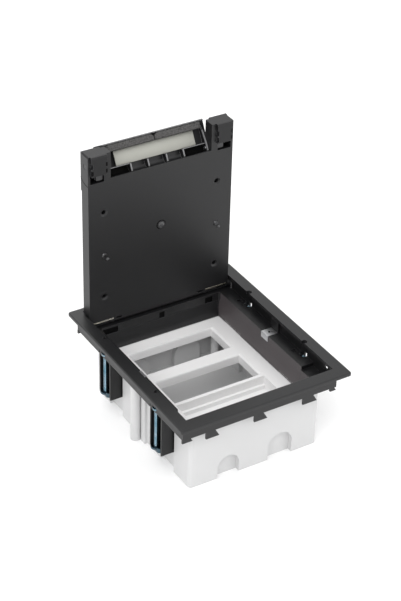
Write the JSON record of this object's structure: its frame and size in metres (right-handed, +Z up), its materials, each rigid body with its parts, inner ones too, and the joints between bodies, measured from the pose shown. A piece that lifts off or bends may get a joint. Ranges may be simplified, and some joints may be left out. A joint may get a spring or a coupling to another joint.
{
  "type": "floor socket box",
  "caption": "Flush floor box with hinged lid, cable outlet flap, sliding latches, module carrier, mounting tub and jack-screw claws.",
  "frame": {"origin": "centre of the mounting box's underside", "axes": "+Z up out of the floor, +Y towards the lid's hinge, +X along the hinge line"},
  "size_m": [0.22, 0.2677, 0.3165],
  "materials": {
    "graphite_plastic": "fine grain, dark grey",
    "black_plastic": "fine grain, black",
    "grey_plastic": "smooth",
    "light_grey_plastic": "satin moulded",
    "white_plastic": "semi-gloss",
    "beige_grey_plastic": "fine stipple",
    "grey_foam": "open-cell foam strip",
    "zinc_steel": "blue zinc plating",
    "bright_steel": "bright spring steel",
    "brass_tone_pin": "yellow zinc plating"
  },
  "bodies": {
    "floor_box": {"cover_frame": "graphite_plastic", "mounting_box": "light_grey_plastic", "device_carrier": "white_plastic", "spring_clip_left": "bright_steel", "spring_clip_right": "bright_steel", "clamp_housing_rear_left": "black_plastic", "clamp_housing_front_left": "black_plastic", "clamp_housing_rear_right": "black_plastic", "clamp_housing_front_right": "black_plastic"},
    "lid": {"lid_tray": "graphite_plastic", "lid_stiffening_plate": "bright_steel", "lid_plate_screws": "bright_steel", "latch_block_left": "graphite_plastic", "latch_block_right": "graphite_plastic", "hinge_pin_left": "brass_tone_pin", "hinge_pin_right": "brass_tone_pin", "flap_hinge_pins": "bright_steel"},
    "cable_flap": {"flap_shell": "graphite_plastic", "flap_infill_plate": "beige_grey_plastic", "foam_seal_left": "grey_foam", "foam_seal_right": "grey_foam"},
    "latch_bolt_left": {"latch_bolt_left": "grey_plastic"},
    "latch_bolt_right": {"latch_bolt_right": "grey_plastic"},
    "jack_screw_rear_left": {"jack_screw_rear_left": "zinc_steel"},
    "clamp_nut_rear_left": {"clamp_nut_rear_left": "zinc_steel"},
    "clamp_claw_rear_left": {"clamp_claw_rear_left": "zinc_steel"},
    "jack_screw_front_left": {"jack_screw_front_left": "zinc_steel"},
    "clamp_nut_front_left": {"clamp_nut_front_left": "zinc_steel"},
    "clamp_claw_front_left": {"clamp_claw_front_left": "zinc_steel"},
    "jack_screw_rear_right": {"jack_screw_rear_right": "zinc_steel"},
    "clamp_nut_rear_right": {"clamp_nut_rear_right": "zinc_steel"},
    "clamp_claw_rear_right": {"clamp_claw_rear_right": "zinc_steel"},
    "jack_screw_front_right": {"jack_screw_front_right": "zinc_steel"},
    "clamp_nut_front_right": {"clamp_nut_front_right": "zinc_steel"},
    "clamp_claw_front_right": {"clamp_claw_front_right": "zinc_steel"}
  },
  "joints": [
    {"name": "lid_hinge", "type": "hinge", "parent": "floor_box", "child": "lid", "pos_m": [0, 0.1109, 0.0932], "axis": [1, 0, 0], "range_deg": [0, 90]},
    {"name": "flap_hinge", "type": "hinge", "parent": "lid", "child": "cable_flap", "pos_m": [0, 0.1152, 0.2835], "axis": [1, 0, 0], "range_deg": [0, 28.8]},
    {"name": "latch_left_slide", "type": "slide", "parent": "lid", "child": "latch_bolt_left", "axis": [-1, 0, 0], "range_m": [0, 0.0055]},
    {"name": "latch_right_slide", "type": "slide", "parent": "lid", "child": "latch_bolt_right", "axis": [1, 0, 0], "range_m": [0, 0.0055]},
    {"name": "jack_screw_rear_left_turn", "type": "hinge", "parent": "floor_box", "child": "jack_screw_rear_left", "pos_m": [-0.0969, 0.063, 0.06], "axis": [0, 0, -1], "range_deg": [0, 17100]},
    {"name": "clamp_nut_rear_left_climb", "type": "slide", "parent": "floor_box", "child": "clamp_nut_rear_left", "axis": [0, 0, 1], "range_m": [0, 0.038]},
    {"name": "clamp_claw_rear_left_swing", "type": "hinge", "parent": "clamp_nut_rear_left", "child": "clamp_claw_rear_left", "pos_m": [-0.0969, 0.063, 0.03], "axis": [0, 0, -1], "range_deg": [0, 90]},
    {"name": "jack_screw_front_left_turn", "type": "hinge", "parent": "floor_box", "child": "jack_screw_front_left", "pos_m": [-0.0969, -0.0543, 0.06], "axis": [0, 0, -1], "range_deg": [0, 17100]},
    {"name": "clamp_nut_front_left_climb", "type": "slide", "parent": "floor_box", "child": "clamp_nut_front_left", "axis": [0, 0, 1], "range_m": [0, 0.038]},
    {"name": "clamp_claw_front_left_swing", "type": "hinge", "parent": "clamp_nut_front_left", "child": "clamp_claw_front_left", "pos_m": [-0.0969, -0.0543, 0.03], "axis": [0, 0, -1], "range_deg": [0, 90]},
    {"name": "jack_screw_rear_right_turn", "type": "hinge", "parent": "floor_box", "child": "jack_screw_rear_right", "pos_m": [0.0969, 0.063, 0.06], "axis": [0, 0, -1], "range_deg": [0, 17100]},
    {"name": "clamp_nut_rear_right_climb", "type": "slide", "parent": "floor_box", "child": "clamp_nut_rear_right", "axis": [0, 0, 1], "range_m": [0, 0.038]},
    {"name": "clamp_claw_rear_right_swing", "type": "hinge", "parent": "clamp_nut_rear_right", "child": "clamp_claw_rear_right", "pos_m": [0.0969, 0.063, 0.03], "axis": [0, 0, -1], "range_deg": [0, 90]},
    {"name": "jack_screw_front_right_turn", "type": "hinge", "parent": "floor_box", "child": "jack_screw_front_right", "pos_m": [0.0969, -0.0543, 0.06], "axis": [0, 0, -1], "range_deg": [0, 17100]},
    {"name": "clamp_nut_front_right_climb", "type": "slide", "parent": "floor_box", "child": "clamp_nut_front_right", "axis": [0, 0, 1], "range_m": [0, 0.038]},
    {"name": "clamp_claw_front_right_swing", "type": "hinge", "parent": "clamp_nut_front_right", "child": "clamp_claw_front_right", "pos_m": [0.0969, -0.0543, 0.03], "axis": [0, 0, -1], "range_deg": [0, 90]}
  ],
  "couplings": [
    {"joint": "jack_screw_rear_left_turn", "follows": "clamp_nut_rear_left_climb", "rad_per_m": 7854},
    {"joint": "jack_screw_front_left_turn", "follows": "clamp_nut_front_left_climb", "rad_per_m": 7854},
    {"joint": "jack_screw_rear_right_turn", "follows": "clamp_nut_rear_right_climb", "rad_per_m": 7854},
    {"joint": "jack_screw_front_right_turn", "follows": "clamp_nut_front_right_climb", "rad_per_m": 7854}
  ]
}
